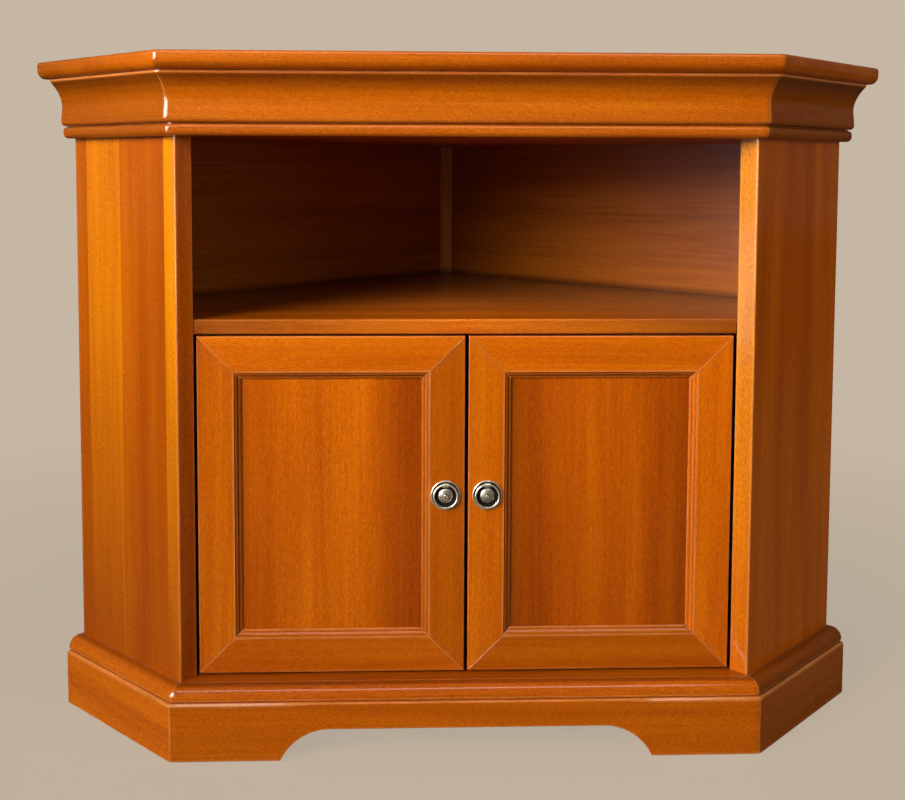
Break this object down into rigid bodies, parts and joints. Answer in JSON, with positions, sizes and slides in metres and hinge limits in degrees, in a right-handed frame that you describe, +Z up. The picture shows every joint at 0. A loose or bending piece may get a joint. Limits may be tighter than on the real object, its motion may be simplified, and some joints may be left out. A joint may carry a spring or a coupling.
{
  "type": "corner cabinet",
  "caption": "Canted corner television cabinet in cherry: open niche above a cupboard with framed doors and ring pulls, coved cornice under the top, arched plinth.",
  "frame": {"origin": "centre of the footprint's bounding box, on the floor", "axes": "+Z up; the doors and the arched plinth face -Y; +X is the viewer's right when facing the doors; the room corner is on the +Y side"},
  "size_m": [1.0314, 0.6902, 0.8],
  "materials": {
    "cherry": "cherry, warm orange-brown, satin to gloss lacquer",
    "cherry_panel": "cherry veneer panel, satin to gloss lacquer",
    "carcass": "cherry veneer inside the carcass, satin lacquer",
    "plain_wood": "bare softwood, hidden under the cabinet",
    "antique_metal": "cast brass, aged dark in the recesses and rubbed bright on the rims",
    "brass": "turned brass, satin",
    "steel": "zinc-plated steel",
    "plastic": "brown moulded plastic"
  },
  "bodies": {
    "cabinet": {"top_slab": "cherry", "cornice_front": "cherry", "cornice_left": "cherry", "cornice_right": "cherry", "bead_front": "cherry", "bead_left": "cherry", "bead_right": "cherry", "top_rail": "cherry", "niche_ceiling": "carcass", "side_panel_left": "cherry", "side_panel_right": "cherry", "back_panel_left": "carcass", "back_panel_right": "carcass", "corner_post": "carcass", "niche_shelf": "cherry", "inner_shelf": "carcass", "shelf_pin_left_front": "brass", "shelf_pin_left_rear": "brass", "shelf_pin_right_front": "brass", "shelf_pin_right_rear": "brass", "shelf_pin_corner": "brass", "bottom_board": "cherry", "base_moulding_front": "cherry", "base_moulding_left": "cherry", "base_moulding_right": "cherry", "plinth_front": "cherry", "plinth_left": "cherry", "plinth_right": "cherry", "plinth_cleat_front": "plain_wood", "plinth_cleat_left": "plain_wood", "plinth_cleat_right": "plain_wood", "rear_foot": "plain_wood", "left_catch": "plastic", "right_catch": "plastic", "left_door_pin_top": "steel", "left_door_pin_bottom": "steel", "right_door_pin_top": "steel", "right_door_pin_bottom": "steel"},
    "left_door": {"left_door_stile_outer": "cherry", "left_door_stile_inner": "cherry", "left_door_rail_top": "cherry", "left_door_rail_bottom": "cherry", "left_door_panel": "cherry_panel", "left_door_bush_top": "brass", "left_door_bush_bottom": "brass", "left_door_strike": "steel", "left_pull_screw": "steel", "left_pull_rosette": "antique_metal"},
    "right_door": {"right_door_stile_outer": "cherry", "right_door_stile_inner": "cherry", "right_door_rail_top": "cherry", "right_door_rail_bottom": "cherry", "right_door_panel": "cherry_panel", "right_door_bush_top": "brass", "right_door_bush_bottom": "brass", "right_door_strike": "steel", "right_pull_screw": "steel", "right_pull_rosette": "antique_metal"},
    "left_ring": {"left_pull_ring": "antique_metal"},
    "right_ring": {"right_pull_ring": "antique_metal"}
  },
  "joints": [
    {"name": "left_door_hinge", "type": "hinge", "parent": "cabinet", "child": "left_door", "pos_m": [-0.29624, -0.2683, 0.086], "axis": [0, 0, -1], "range_deg": [0, 110]},
    {"name": "right_door_hinge", "type": "hinge", "parent": "cabinet", "child": "right_door", "pos_m": [0.29624, -0.2683, 0.086], "axis": [0, 0, 1], "range_deg": [0, 110]},
    {"name": "left_ring_swing", "type": "hinge", "parent": "left_door", "child": "left_ring", "pos_m": [-0.0243, -0.2817, 0.3077], "axis": [-1, 0, 0], "range_deg": [0, 150]},
    {"name": "right_ring_swing", "type": "hinge", "parent": "right_door", "child": "right_ring", "pos_m": [0.0243, -0.2817, 0.3077], "axis": [-1, 0, 0], "range_deg": [0, 150]}
  ]
}
